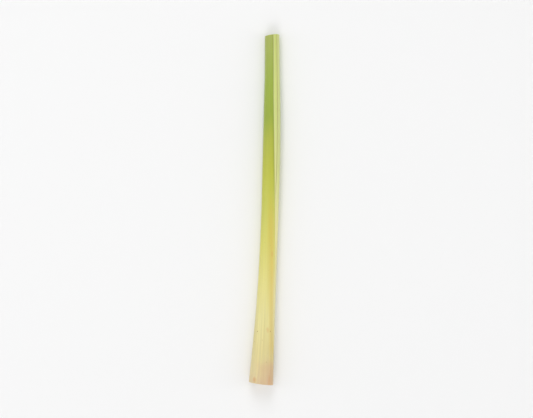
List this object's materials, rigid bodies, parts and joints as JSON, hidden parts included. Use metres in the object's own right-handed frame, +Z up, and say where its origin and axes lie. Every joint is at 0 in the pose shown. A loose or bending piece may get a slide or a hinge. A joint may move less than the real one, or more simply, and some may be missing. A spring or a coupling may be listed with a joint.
{
  "type": "lemongrass stalk",
  "caption": "Trimmed fresh lemongrass stalk lying on its side: tapered, slightly bowed, leaf sheaths rolled round a short stem, cut square at both ends",
  "frame": {"origin": "the middle of the underside of the stalk's box, on the surface that it lies on", "axes": "+Y runs along the stalk from the root end to the green cut end, +Z is up, +X is to the right when it is seen from above with the green end away"},
  "size_m": [0.0176, 0.2516, 0.0153],
  "materials": {
    "stem": "moist cut stem flesh, cream with a peach tint",
    "outer_sheath": "satin waxy leaf skin, green at the top fading through straw yellow to peach at the root end",
    "inner_sheath": "satin pale green leaf skin with fine veins",
    "heart": "moist pale young leaf"
  },
  "bodies": {
    "root": {"base_stem": "stem", "leaf_sheath_1": "outer_sheath", "leaf_sheath_2": "inner_sheath", "leaf_sheath_3": "inner_sheath", "leaf_sheath_4": "inner_sheath", "leaf_sheath_5": "inner_sheath", "leaf_sheath_6": "inner_sheath", "heart_leaf": "heart"}
  },
  "joints": []
}
